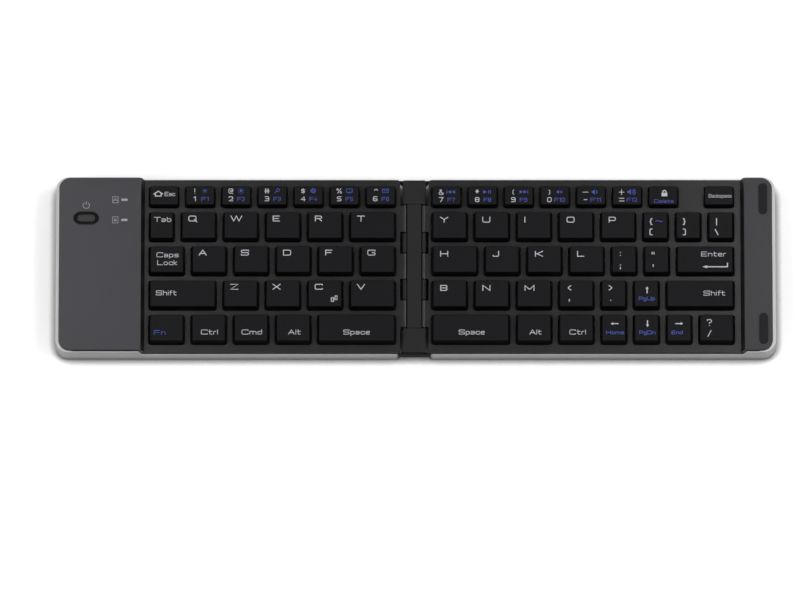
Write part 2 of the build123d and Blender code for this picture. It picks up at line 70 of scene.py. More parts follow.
# ---- Printed characters ----
print_low = 0.015  # the print starts this far inside the surface
print_high = 0.02  # and ends this far above it
letter_height = 2.5  # capital on a letter key
letter_stroke = 0.34
word_stroke = 0.25
letter_inset = {"left_half": 2.3, "right_half": 2.65}  # from the left of the key's top face
letter_drop = {"left_half": 1.4, "right_half": 1.9}  # from the back of the key's top face
round_reach = 1.7  # corner rounding of a character, in grid units
round_steps = (0.0, 0.3, 0.7, 1.0)  # points along a rounded corner
square_limit = 0.3  # a corner is rounded if the cosine between its sides is smaller
mitre_limit = 0.45  # keeps the mitre of a sharp corner short
nearest = 1e-4  # points that are closer are one point
capital_units = 6.0  # grid units from the baseline to the top of a capital
baseline = 2.0
letter_gap = 2.2  # between two characters, in grid units

# Each character is a list of strokes on a grid: x in base 36, then y. The baseline is at y 2,
# small letters reach 6 and capitals 8. A star closes the stroke; one point alone is a dot.
characters = {
    "A": "02 48 82,14 74", "B": "02 08,08 78 75 05,05 75 72 02", "C": "87 88 08 02 82 83",
    "D": "02 08,08 88 82 02", "E": "02 08,08 78,05 65,02 72", "F": "02 08,08 78,05 65",
    "G": "87 88 08 02 82 85 55", "H": "02 08,82 88,05 85", "I": "02 08", "J": "68 62 02 03",
    "K": "02 08,88 25 82,05 25", "L": "02 08,02 72", "M": "02 08 53 a8 a2", "N": "02 08 82 88",
    "O": "02 08 88 82*", "P": "02 08,08 78 74 04", "Q": "02 08 88 82*,64 91",
    "R": "02 08,08 78 75 05,45 72", "S": "87 88 08 05 85 82 02 03", "T": "08 88,42 48",
    "U": "08 02 82 88", "V": "08 42 88", "W": "08 32 68 92 c8", "X": "02 88,08 82",
    "Y": "08 45 88,42 45", "Z": "08 88 02 82",
    "a": "06 56 52 02 04 54", "b": "08 02 52 56 06", "c": "55 56 06 02 52 53", "d": "58 52 02 06 56",
    "e": "04 54 56 06 02 52", "f": "38 18 12,06 36", "g": "52 02 06 56 50 00", "h": "02 08,06 56 52",
    "i": "02 06,08", "k": "02 08,46 04 42", "l": "02 08", "m": "02 06,06 86 82,42 46",
    "n": "02 06,06 56 52", "o": "02 06 56 52*", "p": "00 06,06 56 52 02", "r": "02 06 36",
    "s": "56 06 04 54 52 02", "t": "18 12 42,06 46",
    "0": "02 08 58 52*", "1": "07 28 22", "2": "07 08 58 55 02 52", "3": "08 58 52 02,15 55",
    "4": "42 48 04 54", "5": "58 08 05 55 52 02", "6": "58 08 02 52 55 05", "7": "08 58 22",
    "8": "02 08 58 52*,05 55", "9": "02 52 58 08 05 55",
    "!": "04 08,02", "@": "52 02 08 58 54 24 26 56", "#": "12 18,42 48,04 54,06 56",
    "$": "47 07 05 45 43 03,22 28", "%": "12 58,06 08 28 26*,42 44 64 62*", "^": "26 48 66",
    "&": "52 17 18 38 37 04 02 42 54", "*": "06 46,14 38,34 18", "(": "18 07 03 12",
    ")": "08 17 13 02", "_": "05 65", "-": "05 45", "+": "05 65,32 38", "=": "03 63,07 67",
    "{": "28 18 16 05 14 12 22", "}": "08 18 16 25 14 12 02", "[": "28 08 02 22",
    "]": "08 28 22 02", "|": "02 08", "\\": "08 32", "/": "02 38", "~": "05 16 34 45",
    ":": "03,07", ";": "06,03 01", '"': "06 08,26 28", "'": "06 08", "<": "48 05 42",
    ">": "08 45 02", ",": "03 01", ".": "02", "?": "07 08 48 45 25 24,22",
}


def rounded(points, closed):
    """Turns each square corner of a line of points into a short curve."""
    made = []
    count = len(points)
    for i, point in enumerate(points):
        if not closed and i in (0, count - 1):
            made.append(point)
            continue
        back = points[i - 1] - point
        ahead = points[(i + 1) % count] - point
        if abs(back.normalized().dot(ahead.normalized())) > square_limit:
            made.append(point)
            continue
        reach = min(round_reach, back.length / 2, ahead.length / 2)
        start = point + back.normalized() * reach
        end = point + ahead.normalized() * reach
        for t in round_steps:
            made.append(start * (1 - t) ** 2 + point * 2 * t * (1 - t) + end * t ** 2)
    return made


def ribbon(points, width, closed=False):
    """Quads along a line of points, mitred at its corners, reaching half a width past its ends."""
    points = [Vector(p) for p in points]
    kept = [
        p for i, p in enumerate(points)
        if (p - points[i - 1]).length > nearest or (i == 0 and not closed)
    ]
    count = len(kept)
    half = width / 2
    if count == 1:
        return [oblong(width, width, *kept[0])]
    steps = [(kept[(i + 1) % count] - kept[i]).normalized() for i in range(count)]
    if not closed:
        steps[-1] = steps[-2]
        kept[0] = kept[0] - steps[0] * half
        kept[-1] = kept[-1] + steps[-1] * half
    sides = []
    for i, point in enumerate(kept):
        before = steps[i - 1] if closed or i else steps[0]
        after = steps[i]
        across = Vector((-before.y - after.y, before.x + after.x))
        offset = across * half / max(1 + before.dot(after), mitre_limit)
        sides.append((point + offset, point - offset))
    last = count if closed else count - 1
    pairs = [(sides[i], sides[(i + 1) % count]) for i in range(last)]
    return [[tuple(a[0]), tuple(a[1]), tuple(b[1]), tuple(b[0])] for a, b in pairs]


def stroke_points(stroke):
    """The points of a stroke on the grid, and whether it is closed."""
    closed = stroke.endswith("*")
    return [Vector((int(p[0], 36), int(p[1]))) for p in stroke.rstrip("*").split()], closed


def character_width(character):
    return max(int(p[0], 36) for stroke in characters[character].split(",") for p in stroke.split())


def word(text, x, y, height, width=None, stroke=word_stroke):
    """Outlines of a word centred on x, y. The width includes the strokes; left out, it is natural."""
    units = sum(character_width(c) for c in text) + letter_gap * (len(text) - 1)
    scale_y = (height - stroke) / capital_units
    scale_x = scale_y if width is None else (width - stroke) / units
    shapes = []
    pen = -units / 2
    for character in text:
        for drawn in characters[character].split(","):
            points, closed = stroke_points(drawn)
            points = rounded(points, closed)
            placed = [
                Vector((x + (pen + p.x) * scale_x, y + (p.y - baseline - capital_units / 2) * scale_y))
                for p in points
            ]
            shapes += ribbon(placed, stroke, closed)
        pen += character_width(character) + letter_gap
    return shapes


# ---- Small pictures on the keys and beside the controls, drawn round 0, 0 ----
def circle(radius, x=0.0, y=0.0, start=0.0, end=360.0, count=16):
    turns = [math.radians(start + (end - start) * i / count) for i in range(count + 1)]
    points = [(x + radius * math.cos(a), y + radius * math.sin(a)) for a in turns]
    return points[:-1] if end - start == 360.0 else points


def ring(radius, width, x=0.0, y=0.0):
    return ribbon(circle(radius, x, y), width, True)


def rays(count, inner, outer, width):
    shapes = []
    for i in range(count):
        turn = math.tau * i / count
        unit = Vector((math.cos(turn), math.sin(turn)))
        shapes += ribbon([unit * inner, unit * outer], width)
    return shapes


def oblong(width, height, x=0.0, y=0.0):
    left, right = x - width / 2, x + width / 2
    low, high = y - height / 2, y + height / 2
    return [(left, low), (right, low), (right, high), (left, high)]


def arrow(length, head, width, turn):
    """A straight arrow through 0, 0 that points along turn, in degrees."""
    half = length / 2
    neck = half - head
    barb = head * 0.62
    outline = [(-half, -width / 2), (neck, -width / 2), (neck, -barb), (half, 0.0)]
    outline += [(neck, barb), (neck, width / 2), (-half, width / 2)]
    spin = Matrix.Rotation(math.radians(turn), 2)
    return [[tuple(spin @ Vector(p)) for p in outline]]


def triangle(x, size, way):
    """A solid triangle that points left or right."""
    back, tip = x - way * size * 0.5, x + way * size * 0.5
    return [(back, size * 0.55), (back, -size * 0.55), (tip, 0.0)]


def speaker(waves):
    """A loudspeaker with so many waves of sound."""
    shapes = [oblong(0.5, 0.7, -0.95), [(-0.8, 0.35), (-0.8, -0.35), (-0.2, -0.85), (-0.2, 0.85)]]
    for i in range(waves):
        shapes += ribbon(circle(0.55 + 0.5 * i, -0.1, 0.0, -50.0, 50.0, 6), 0.24)
    return shapes


def mute():
    return speaker(0) + ribbon([(0.3, -0.5), (1.1, 0.5)], 0.22) + ribbon([(0.3, 0.5), (1.1, -0.5)], 0.22)


def padlock(scale=1.0):
    shapes = [[(p[0] * scale, p[1] * scale) for p in oblong(2.3, 1.45, 0.0, -0.5)]]
    bow = [(-0.68, 0.2), (-0.68, 0.55)] + circle(0.68, 0.0, 0.6, 180.0, 0.0, 8) + [(0.68, 0.2)]
    return shapes + ribbon([(x * scale, y * scale) for x, y in bow], 0.42 * scale)


def house():
    walls = [(-1.15, -0.15), (-1.15, -1.0), (1.15, -1.0), (1.15, -0.15)]
    return ribbon([(-1.75, -0.1), (0.0, 1.1), (1.75, -0.1)], 0.42) + ribbon(walls, 0.42)


def globe():
    shapes = ring(0.95, 0.26) + ribbon([(-0.9, 0.0), (0.9, 0.0)], 0.22)
    oval = [(x * 0.45, y) for x, y in circle(0.95)]
    return shapes + ribbon(oval, 0.22, True)


def envelope():
    return ribbon(oblong(2.4, 1.5), 0.24, True) + ribbon([(-1.1, 0.65), (0.0, -0.15), (1.1, 0.65)], 0.22)


def screen():
    return ribbon(oblong(2.3, 1.4, 0.0, 0.1), 0.24, True) + ribbon([(-0.6, -0.95), (0.6, -0.95)], 0.22)


def magnifier():
    return ring(0.62, 0.26, 0.3, 0.3) + ribbon([(-0.2, -0.2), (-0.85, -0.85)], 0.3)


def pairing():
    """Two small devices with a link between them."""
    left = ribbon([(-1.15, -1.2), (-0.25, -1.2), (-0.25, 0.4), (-1.15, 0.4)], 0.3, True)
    right = ribbon([(0.35, -0.4), (1.15, -0.4), (1.15, 1.2), (0.35, 1.2)], 0.3, True)
    return left + right + ribbon([(-0.1, 0.0), (0.2, 0.0)], 0.3)


def grown(shapes, share):
    return [[(x * share, y * share) for x, y in shape] for shape in shapes]


pictures = {
    "dim": [circle(0.45)] + rays(8, 0.78, 0.92, 0.2),
    "bright": [circle(0.55)] + rays(8, 0.9, 1.2, 0.22),
    "search": magnifier(),
    "globe": globe(),
    "screen": screen(),
    "mail": envelope(),
    "previous": [oblong(0.3, 1.5, -1.75), triangle(-0.75, 1.4, -1), triangle(0.85, 1.4, -1)],
    "play": [triangle(-0.95, 1.5, 1), oblong(0.32, 1.5, 0.55), oblong(0.32, 1.5, 1.25)],
    "next": [triangle(-0.85, 1.4, 1), triangle(0.75, 1.4, 1), oblong(0.3, 1.5, 1.75)],
    "mute": mute(),
    "quieter": grown(speaker(1), 1.3),
    "louder": grown(speaker(2), 1.45),
    "padlock": padlock(),
    "house": house(),
    "pairing": pairing(),
    "left": arrow(3.2, 1.0, 0.42, 180.0),
    "right": arrow(3.2, 1.0, 0.42, 0.0),
    "up": arrow(2.9, 1.0, 0.42, 90.0),
    "down": arrow(2.9, 1.0, 0.42, 270.0),
    "return": ribbon([(5.0, 1.5), (5.0, 0.0), (-3.6, 0.0)], 0.45)
    + [[(-5.1, 0.0), (-3.2, -0.62), (-3.2, 0.62)]],
}


def moved(shapes, x, y):
    return [[(px + x, py + y) for px, py in shape] for shape in shapes]


# ---- Meshes ----
def piece(name, points, faces, finish, smooth=False):
    """A mesh object from points in millimetres."""
    mesh = bpy.data.meshes.new(name)
    mesh.from_pydata([tuple(c * mm for c in p) for p in points], [], faces)
    mesh.validate()
    mesh.materials.append(finish)
    mesh.polygons.foreach_set("use_smooth", [smooth] * len(mesh.polygons))
    made = bpy.data.objects.new(name, mesh)
    bpy.context.scene.collection.objects.link(made)
    return made


def contains(outline, x, y):
    """Whether the point lies in the closed outline."""
    inside = False
    for (ax, ay), (bx, by) in zip(outline, outline[1:] + outline[:1]):
        if (ay > y) != (by > y) and x < ax + (y - ay) / (by - ay) * (bx - ax):
            inside = not inside
    return inside


def plate(outlines, low, high):
    """A closed flat plate over the union of the outlines: (points, faces)."""
    points, loops = [], []
    for outline in outlines:
        loops.append(list(range(len(points), len(points) + len(outline))))
        points += [Vector(p) for p in outline]
    flat, _, triangles = delaunay_2d_cdt(points, [], loops, 0, nearest)[:3]
    tops = []
    for face in triangles:
        x = sum(flat[i].x for i in face) / 3
        y = sum(flat[i].y for i in face) / 3
        if any(contains(outline, x, y) for outline in outlines):
            tops.append(face)
    edges = {(a, b) for face in tops for a, b in zip(face, face[1:] + face[:1])}
    used = sorted({i for face in tops for i in face})
    place = {old: new for new, old in enumerate(used)}
    count = len(used)
    corners = [(flat[i].x, flat[i].y, z) for z in (high, low) for i in used]
    faces = [tuple(place[i] for i in face) for face in tops]
    faces += [tuple(place[i] + count for i in reversed(face)) for face in tops]
    rim = [(place[a], place[b]) for a, b in sorted(edges) if (b, a) not in edges]
    faces += [(a, a + count, b + count, b) for a, b in rim]
    return corners, faces


def plates(name, marks, low, high, finish, body):
    """Flat plates, one for each mark, between two heights."""
    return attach(piece(name, *gather([plate(mark, low, high) for mark in marks]), finish), body)


def tube_loop(path, radius, sides=8):
    """A closed round bar along a loop of points: (points, faces)."""
    path = [Vector(p) for p in path]
    centre = sum(path, Vector()) / len(path)
    up = (path[1] - path[0]).cross(path[2] - path[1]).normalized()
    points, faces = [], []
    count = len(path)
    for i, point in enumerate(path):
        before = (point - path[i - 1]).normalized()
        after = (path[(i + 1) % count] - point).normalized()
        out = (before - after).normalized() * math.sqrt(2)
        if out.dot(point - centre) < 0:
            out = -out
        for k in range(sides):
            turn = math.tau * k / sides
            points.append(point + radius * (out * math.cos(turn) + up * math.sin(turn)))
    for i in range(count):
        for k in range(sides):
            a, b = i * sides, (i + 1) % count * sides
            k2 = (k + 1) % sides
            faces.append((a + k, b + k, b + k2, a + k2))
    return [tuple(p) for p in points], faces


def lathe(profile, x, y, steps=20):
    """A closed profile of (radius, height) turned about an upright line: (points, faces)."""
    points, faces = [], []
    count = len(profile)
    for i in range(steps):
        turn = math.tau * i / steps
        points += [(x + r * math.cos(turn), y + r * math.sin(turn), z) for r, z in profile]
        a, b = i * count, (i + 1) % steps * count
        faces += [(a + k, b + k, b + (k + 1) % count, a + (k + 1) % count) for k in range(count)]
    return points, faces


def gather(parts):
    """Joins several (points, faces) into one."""
    points, faces = [], []
    for more, shapes in parts:
        faces += [tuple(i + len(points) for i in face) for face in shapes]
        points += more
    return points, faces


# ---- Materials ----
noise_range = (0.3, 0.7)  # where most values of a noise texture lie
cloud_scale = 45.0  # slow changes of tone, for each metre
gloss_spread = 0.05  # how far the grain changes the roughness
grain_strength = 0.6
sky_samples = 8


def tree_of(name):
    """A new material with its nodes, links and shader."""
    made = bpy.data.materials.new(name)
    made.use_nodes = True
    return made, made.node_tree.nodes, made.node_tree.links, made.node_tree.nodes["Principled BSDF"]


def coordinate(nodes, links, kind, way):
    """X, Y or Z of the surface's place or normal, or of the sky's direction."""
    place = nodes.new("ShaderNodeTexCoord")
    split = nodes.new("ShaderNodeSeparateXYZ")
    links.new(place.outputs[kind], split.inputs["Vector"])
    return split.outputs[way]


def noise(nodes, links, scale, detail):
    place = nodes.new("ShaderNodeTexCoord")
    found = nodes.new("ShaderNodeTexNoise")
    found.inputs["Scale"].default_value = scale
    found.inputs["Detail"].default_value = detail
    links.new(place.outputs["Object"], found.inputs["Vector"])
    return found.outputs["Fac"]


def calculate(nodes, links, operation, value, number=0.0):
    """The result of one step of arithmetic on a socket."""
    found = nodes.new("ShaderNodeMath")
    found.operation = operation
    found.inputs[1].default_value = number
    links.new(value, found.inputs[0])
    return found.outputs["Value"]


def run(nodes, links, value, start, end, low=0.0, high=1.0, kind="SMOOTHSTEP"):
    """A number that runs from low to high as the value runs from start to end."""
    found = nodes.new("ShaderNodeMapRange")
    found.interpolation_type = kind
    for socket, number in (("From Min", start), ("From Max", end), ("To Min", low), ("To Max", high)):
        found.inputs[socket].default_value = number
    links.new(value, found.inputs["Value"])
    return found.outputs["Result"]


def over_noise(nodes, links, value, low, high):
    """A number that runs from low to high over the middle range of a noise."""
    return run(nodes, links, value, *noise_range, low, high, "LINEAR")


def blend_colour(nodes, links, factor, first, second):
    """Mixes two tones, each a colour or a socket. The factor is a number or a socket."""
    found = nodes.new("ShaderNodeMix")
    found.data_type = "RGBA"
    for socket, value in ((found.inputs[6], first), (found.inputs[7], second)):
        if isinstance(value, tuple):
            socket.default_value = (*value, 1.0)
        else:
            links.new(value, socket)
    if isinstance(factor, float):
        found.inputs[0].default_value = factor
    else:
        links.new(factor, found.inputs[0])
    return found.outputs[2]


def shade(colour, share):
    return tuple(min(1.0, c * share) for c in colour)


def raise_surface(nodes, links, shader, height, depth, strength):
    """Bumps of so many millimetres."""
    bump = nodes.new("ShaderNodeBump")
    bump.inputs["Strength"].default_value = strength
    bump.inputs["Distance"].default_value = depth * mm
    links.new(height, bump.inputs["Height"])
    links.new(bump.outputs["Normal"], shader.inputs["Normal"])


def grained(name, colour, rough, metal=0.0, specular=0.5, grain=0.2, depth=0.01, mottle=0.08):
    """A moulded or lacquered finish: fine grain, with slow changes of tone and gloss.
    Grain and depth are in millimetres."""
    made, nodes, links, shader = tree_of(name)
    fine = noise(nodes, links, 1 / (grain * mm), 4.0)
    slow = noise(nodes, links, cloud_scale, 3.0)
    low, high = shade(colour, 1 - mottle), shade(colour, 1 + mottle)
    clouds = blend_colour(nodes, links, over_noise(nodes, links, slow, 0.0, 1.0), low, high)
    specks = blend_colour(nodes, links, over_noise(nodes, links, fine, 0.0, 1.0), low, high)
    links.new(blend_colour(nodes, links, 0.5, clouds, specks), shader.inputs["Base Color"])
    gloss = over_noise(nodes, links, fine, rough - gloss_spread, rough + gloss_spread)
    links.new(gloss, shader.inputs["Roughness"])
    shader.inputs["Metallic"].default_value = metal
    shader.inputs["Specular IOR Level"].default_value = specular
    raise_surface(nodes, links, shader, fine, depth, grain_strength)
    return made


def own_tone(made):
    """The socket that a finish has its colour from."""
    return made.node_tree.nodes["Principled BSDF"].inputs["Base Color"].links[0].from_socket


def tone_over(made, share, other):
    """Fades a finish to another tone, by a share that runs from 0 to 1."""
    nodes, links = made.node_tree.nodes, made.node_tree.links
    tone = blend_colour(nodes, links, share, own_tone(made), other)
    links.new(tone, nodes["Principled BSDF"].inputs["Base Color"])
    return made


def by_facing(made, way, start, end, other):
    """Fades a finish to another tone on faces that look along X, Y or Z, from start to end of that
    direction's share of the surface normal."""
    nodes, links = made.node_tree.nodes, made.node_tree.links
    facing = coordinate(nodes, links, "Normal", way)
    return tone_over(made, run(nodes, links, facing, start, end), other)


def by_place(made, way, middle, start, end, other):
    """Fades a finish to another tone as the distance from a middle plane along X, Y or Z runs from
    start to end, in millimetres."""
    nodes, links = made.node_tree.nodes, made.node_tree.links
    place = coordinate(nodes, links, "Object", way)
    from_middle = calculate(nodes, links, "SUBTRACT", place, middle * mm)
    length = calculate(nodes, links, "ABSOLUTE", from_middle)
    return tone_over(made, run(nodes, links, length, start * mm, end * mm), other)


def by_nearness(made, reach, start, end, other, lean=None):
    """Paints shade: fades a finish to another tone beside whatever stands within reach, in millimetres, as
    the open share of the surface's sky falls from start to end. Lean tilts that sky."""
    nodes, links = made.node_tree.nodes, made.node_tree.links
    sky = nodes.new("ShaderNodeAmbientOcclusion")
    sky.samples = sky_samples
    sky.inputs["Distance"].default_value = reach * mm
    if lean:
        up = nodes.new("ShaderNodeCombineXYZ")
        for socket, value in zip(up.inputs, lean):
            socket.default_value = value
        links.new(up.outputs["Vector"], sky.inputs["Normal"])
    return tone_over(made, run(nodes, links, sky.outputs["AO"], start, end), other)


painted_edge_shade = (0.003, 0.003, 0.0032)  # painted shade on the edges of the deck, of the raised pieces and of the spine
bright_edge = 0.2  # silver outside the painted seam shade
bright_end = 6.0  # silver past the painted seam shade, at the outer ends


def silver_finish():
    """Blasted metal with painted shade: a dark line along the seam under the deck, and sides darker than
    the underside, most of all at their foot and beside the hinges."""
    shell_low, shell_high = box_mm("left_bottom_shell")
    seam = shell_high.y - bright_edge
    seam_end = -shell_low.x - bright_end
    made = grained("silver_shell_finish", (0.5, 0.5, 0.495), 0.42, metal=0.3, grain=0.12, depth=0.004)
    bright = own_tone(made)
    # Painted shade: silver more than bright_edge inside the front and rear faces goes dark, which draws a
    # dark line in the seam under the deck.
    by_place(made, "Y", middle=0.0, start=seam, end=seam - 0.1, other=(0.008, 0.008, 0.008))
    # The outer ends keep the unshaded tone.
    by_place(made, "X", middle=0.0, start=seam_end - 1.0, end=seam_end, other=bright)
    # Painted shade: the sides are darker than the faces that look up.
    by_facing(made, "Z", start=0.8, end=0.3, other=(0.165, 0.165, 0.163))
    # Painted shade: darker towards the foot of the sides.
    by_place(made, "Z", middle=0.0, start=5.0, end=1.0, other=(0.05, 0.05, 0.05))
    # The underside keeps the unshaded tone.
    by_facing(made, "Z", start=-0.6, end=-0.95, other=bright)
    # Painted shade beside the hinges.
    return by_place(made, "X", middle=spine_x, start=7.5, end=6.5, other=(0.012, 0.012, 0.012))


def deck_finish():
    """Dark lacquer, with painted shade close to the keys and on its edges."""
    colour = (0.0155, 0.0155, 0.0165)
    made = grained("gunmetal_deck_finish", colour, 0.34, specular=0.4, grain=0.14, depth=0.003)
    # Painted shade: the deck darkens where the keys stand close to it.
    by_nearness(made, reach=1.3, start=0.88, end=0.6, other=(0.001, 0.001, 0.001))
    # Painted shade on the side faces.
    return by_facing(made, "Z", start=0.7, end=0.2, other=painted_edge_shade)


def cover_finish():
    """Lacquer of the raised cover and rim. The rim is darker, and the slopes of both carry painted shade.
    """
    colour = (0.04, 0.0385, 0.0435)
    right_end = box_mm("right_bottom_shell")[1].x
    made = grained("gunmetal_cover_finish", colour, 0.38, specular=0.22, grain=0.14, depth=0.003)
    by_place(made, "X", middle=right_end, start=60.0, end=20.0, other=(0.029, 0.0285, 0.031))
    # Painted shade on the slopes.
    return by_facing(made, "Z", start=0.97, end=0.6, other=painted_edge_shade)


def key_finish():
    """Fine black plastic, with painted shade that makes the sides blacker."""
    colour = (0.0078, 0.008, 0.0088)
    made = grained("key_plastic_finish", colour, 0.55, specular=0.06, grain=0.16, depth=0.006)
    # Painted shade: the sides go nearly black.
    return by_facing(made, "Z", start=0.985, end=0.7, other=(0.0004, 0.0004, 0.0005))


def spine_finish():
    """Dark plastic with painted shade that makes the front blacker."""
    colour = (0.0195, 0.0195, 0.0205)
    made = grained("spine_plastic_finish", colour, 0.42, specular=0.03, depth=0.006)
    # Painted shade on the front.
    return by_facing(made, "Y", start=-0.4, end=-0.8, other=painted_edge_shade)


def board_finish():
    """Solder resist over tracks: square cells whose edges read as copper lines."""
    made, nodes, links, shader = tree_of("board_green_finish")
    place = nodes.new("ShaderNodeTexCoord")
    cells = nodes.new("ShaderNodeTexVoronoi")
    cells.distance = "MANHATTAN"
    cells.inputs["Scale"].default_value = 700.0
    links.new(place.outputs["Object"], cells.inputs["Vector"])
    tracks = run(nodes, links, cells.outputs["Distance"], 0.42, 0.5, kind="LINEAR")
    colour = blend_colour(nodes, links, tracks, (0.01, 0.11, 0.045), (0.03, 0.22, 0.09))
    links.new(colour, shader.inputs["Base Color"])
    shader.inputs["Roughness"].default_value = 0.28
    raise_surface(nodes, links, shader, tracks, 0.02, 1.0)
    return made


plain = {
    "button_plastic": dict(colour=(0.019, 0.019, 0.02), rough=0.42, specular=0.3, depth=0.006),
    "pad_rubber": dict(colour=(0.008, 0.008, 0.0085), rough=0.7, specular=0.15, grain=0.3, depth=0.02),
    "foot_rubber": dict(colour=(0.022, 0.022, 0.022), rough=0.75, specular=0.3, grain=0.35, depth=0.03),
    "dome_rubber": dict(colour=(0.55, 0.55, 0.53), rough=0.5, grain=0.3),
    "scissor_plastic": dict(colour=(0.7, 0.7, 0.68), rough=0.45, grain=0.25),
    "membrane_film": dict(colour=(0.45, 0.48, 0.45), rough=0.25, grain=1.2, mottle=0.2),
    "flex_film": dict(colour=(0.42, 0.18, 0.03), rough=0.3, grain=0.8, mottle=0.15),
    "battery_wrap": dict(colour=(0.32, 0.33, 0.35), rough=0.35, metal=0.6, grain=2.5, depth=0.08),
    "plated_steel": dict(colour=(0.66, 0.65, 0.62), rough=0.25, metal=1.0, grain=0.3, depth=0.004),
    "plate_steel": dict(colour=(0.5, 0.5, 0.5), rough=0.4, metal=1.0, grain=0.5, depth=0.006),
    "screw_steel": dict(colour=(0.3, 0.3, 0.31), rough=0.35, metal=1.0, depth=0.006),
    "pin_steel": dict(colour=(0.03, 0.03, 0.031), rough=0.3, metal=1.0, grain=0.3, depth=0.004),
    "light_pipe": dict(colour=(0.24, 0.24, 0.25), rough=0.3, grain=0.4, depth=0.004),
}
finishes = {slot: grained(slot + "_finish", **look) for slot, look in plain.items()}
finishes.update(
    silver_shell=silver_finish(), gunmetal_deck=deck_finish(), gunmetal_cover=cover_finish(),
    key_plastic=key_finish(), spine_plastic=spine_finish(), board_green=board_finish(),
)
# Near black for the ring round the power button: painted shade in its recess, and a dark rim round it.
dark_ring_and_recess_shade = grained("ring_finish", (0.002, 0.002, 0.002), 0.6, specular=0.15, depth=0.006)

white, blue, grey = "white", "blue", "grey"
ink_colours = {white: (0.37, 0.37, 0.39), blue: (0.042, 0.056, 0.25), grey: (0.2, 0.2, 0.21)}
inks = {
    name: grained(name + "_ink_finish", colour, 0.5, specular=0.3, grain=0.08, depth=0.003, mottle=0.05)
    for name, colour in ink_colours.items()
}

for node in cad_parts.values():
    for place in node.material_slots:
        place.material = finishes[place.material.name.split(".")[0]]


# ---- Where the keys are ----
row_height = 2.0  # solids of one row have their middles within this step of Y


def solids(node):
    """The (low, high) box of each separate solid of a node, rear row first, each row from the left."""
    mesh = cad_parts[node].data
    spots = {}
    weld = [spots.setdefault(tuple(round(c / mm, 3) for c in v.co), len(spots)) for v in mesh.vertices]
    owner = list(range(len(spots)))

    def root(i):
        while owner[i] != i:
            owner[i] = owner[owner[i]]
            i = owner[i]
        return i

    for face in mesh.polygons:
        first = root(weld[face.vertices[0]])
        for i in face.vertices:
            owner[root(weld[i])] = first
    groups = {}
    for spot, i in spots.items():
        groups.setdefault(root(i), []).append(spot)
    boxes = [
        (Vector([min(c) for c in zip(*group)]), Vector([max(c) for c in zip(*group)]))
        for group in groups.values()
    ]
    return sorted(boxes, key=lambda b: (-round((b[0].y + b[1].y) / 2 / row_height), b[0].x))


banks = {
    "left_number_keys": "esc 1 2 3 4 5 6",
    "right_number_keys": "7 8 9 0 minus equals lock backspace",
    "left_side_keys": "tab caps left_shift fn left_ctrl cmd left_alt",
    "right_side_keys": "open_bracket close_bracket backslash semicolon quote enter comma full_stop up"
    " right_shift right_alt right_ctrl left down right question",
    "left_space_key": "left_space",
    "right_space_key": "right_space",
}
for letter in "qwertasdfgzxcvyuiophjklbnm":
    banks["key_" + letter] = letter.upper()

key_slope = 0.8  # how far each side of a key leans in
keys = {}  # each key's node and the low and high corner of its solid
for node, names in banks.items():
    for name, (low, high) in zip(names.split(), solids(node)):
        keys[name] = (node, low, high)
key_top = box_mm("key_q")[1].z


def half_of(node):
    """The half that carries a key or a bank of keys."""
    first_key = banks[node].split()[0]
    return "left_half" if keys[first_key][1].x < 0 else "right_half"


# ---- Legends: inks and shapes, placed from the key's centre ----
digit_height, symbol_height, function_height = 2.1, 2.2, 1.8  # on a number key
column_x = (-2.2, 1.9)  # digits and functions on a number key
row_y = {"left_half": (1.8, -1.6), "right_half": (1.3, -1.95)}  # symbols and digits
function_width = {2: 3.0, 3: 4.2}  # of F1 to F9 and of F10 to F12


def number_key(digit, symbol, number, picture):
    """A symbol above a digit, and beside them a picture above a function."""
    left, right = column_x
    upper, lower = row_y["left_half" if number < 7 else "right_half"]
    function = "F" + str(number)
    return [
        (white, word(digit, left, lower, digit_height, None, 0.3)),
        (white, word(symbol, left, upper, symbol_height, None, 0.26)),
        (blue, word(function, right, lower - 0.1, function_height, function_width[len(function)], 0.24)),
        (blue, moved(pictures[picture], right, upper + 0.1)),
    ]


def pair_key(upper, lower, x, upper_y, lower_y, upper_height, lower_height, stroke=0.36):
    """Two symbols, one above the other."""
    return [
        (white, word(upper, x, upper_y, upper_height, None, stroke)),
        (white, word(lower, x, lower_y, lower_height, None, stroke)),
    ]


